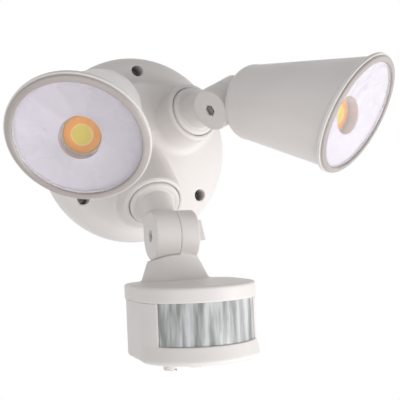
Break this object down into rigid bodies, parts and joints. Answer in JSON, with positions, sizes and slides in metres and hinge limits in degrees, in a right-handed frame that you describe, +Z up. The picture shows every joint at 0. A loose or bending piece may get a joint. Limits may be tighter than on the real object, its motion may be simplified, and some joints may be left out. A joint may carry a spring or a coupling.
{
  "type": "motion sensor security light",
  "caption": "Wall-mounted security light with twin swivelling LED lamp heads and a hinged motion sensor on a round base.",
  "frame": {"origin": "centre of the wall plate's back face, on the wall", "axes": "+Y into the wall, -Y out of the wall towards the viewer, +Z up, +X to the right of someone facing the wall"},
  "size_m": [0.2809, 0.2367, 0.2468],
  "materials": {
    "cover_white": "satin moulded",
    "plate_white": "satin moulded",
    "arm_white": "satin moulded",
    "head_white": "satin moulded",
    "bezel_white": "semi-gloss moulded",
    "sensor_white": "satin moulded",
    "dial_white": "satin moulded",
    "lever_white": "satin moulded",
    "lens_clear": "polished",
    "reflector_white": "glossy white",
    "led_phosphor": "silicone over phosphor",
    "led_ceramic": "fired ceramic",
    "sink_aluminium": "as cast",
    "zinc_steel": "zinc plated",
    "seal_rubber": "matt",
    "seal_silicone": "matt",
    "nut_nylon": "matt moulded",
    "window_fresnel": "translucent, ribbed",
    "board_green": "solder mask",
    "driver_black": "potted case",
    "terminal_nylon": "matt moulded",
    "element_can": "plated can"
  },
  "bodies": {
    "base": {"wall_plate": "plate_white", "cable_grommet": "seal_rubber", "cover_gasket": "seal_rubber", "base_cover": "cover_white", "cover_screws": "zinc_steel", "driver_case": "driver_black", "terminal_block": "terminal_nylon"},
    "arm_left": {"arm_left": "arm_white", "ring_nut_left": "nut_nylon", "knuckle_nut_left": "zinc_steel", "knuckle_bolt_left": "zinc_steel"},
    "head_left": {"housing_left": "head_white", "heat_sink_left": "sink_aluminium", "led_board_left": "led_ceramic", "led_phosphor_left": "led_phosphor", "reflector_left": "reflector_white", "lens_gasket_left": "seal_silicone", "lens_left": "lens_clear", "bezel_left": "bezel_white"},
    "arm_right": {"arm_right": "arm_white", "ring_nut_right": "nut_nylon", "knuckle_nut_right": "zinc_steel", "knuckle_bolt_right": "zinc_steel"},
    "head_right": {"housing_right": "head_white", "heat_sink_right": "sink_aluminium", "led_board_right": "led_ceramic", "led_phosphor_right": "led_phosphor", "reflector_right": "reflector_white", "lens_gasket_right": "seal_silicone", "lens_right": "lens_clear", "bezel_right": "bezel_white"},
    "arm_sensor": {"arm_sensor": "arm_white", "ring_nut_sensor": "nut_nylon", "knuckle_nut_sensor": "zinc_steel", "knuckle_bolt_sensor": "zinc_steel"},
    "sensor": {"sensor_cap": "sensor_white", "sensor_body": "sensor_white", "sensor_window": "window_fresnel", "sensor_board": "board_green", "pir_element": "element_can", "light_cell": "element_can"},
    "wing_lever": {"wing_lever": "lever_white"},
    "dial_time": {"dial_time": "dial_white"},
    "dial_light": {"dial_light": "dial_white"}
  },
  "joints": [
    {"name": "head_swivel_left", "type": "hinge", "parent": "base", "child": "arm_left", "pos_m": [-0.03873, -0.06266, 0.02597], "axis": [-0.2723, -0.9447, 0.1826], "range_deg": [-90, 35]},
    {"name": "head_tilt_left", "type": "hinge", "parent": "arm_left", "child": "head_left", "pos_m": [-0.05049, -0.09873, 0.02727], "axis": [-0.9247, 0.3094, 0.2217], "range_deg": [-25, 45]},
    {"name": "head_swivel_right", "type": "hinge", "parent": "base", "child": "arm_right", "pos_m": [0.03873, -0.06266, 0.02597], "axis": [0.2723, -0.9447, 0.1826], "range_deg": [-30, 90]},
    {"name": "head_tilt_right", "type": "hinge", "parent": "arm_right", "child": "head_right", "pos_m": [0.05167, -0.09831, 0.02771], "axis": [-0.8394, -0.326, -0.4349], "range_deg": [-35, 45]},
    {"name": "sensor_swivel", "type": "hinge", "parent": "base", "child": "arm_sensor", "pos_m": [0, -0.06615, -0.04892], "axis": [0, -0.7631, -0.6463], "range_deg": [-60, 35]},
    {"name": "sensor_tilt", "type": "hinge", "parent": "arm_sensor", "child": "sensor", "pos_m": [0.0029, -0.09732, -0.07531], "axis": [1, 0, 0], "range_deg": [-20, 40]},
    {"name": "wing_lever_turn", "type": "hinge", "parent": "arm_sensor", "child": "wing_lever", "pos_m": [0.0029, -0.09732, -0.07531], "axis": [1, 0, 0], "continuous": true},
    {"name": "dial_time_turn", "type": "hinge", "parent": "sensor", "child": "dial_time", "pos_m": [-0.0215, -0.16195, -0.16254], "axis": [0, 0.0157, -0.9999], "range_deg": [-135, 135]},
    {"name": "dial_light_turn", "type": "hinge", "parent": "sensor", "child": "dial_light", "pos_m": [-0.0028, -0.15795, -0.16248], "axis": [0, 0.0157, -0.9999], "range_deg": [-135, 135]}
  ]
}
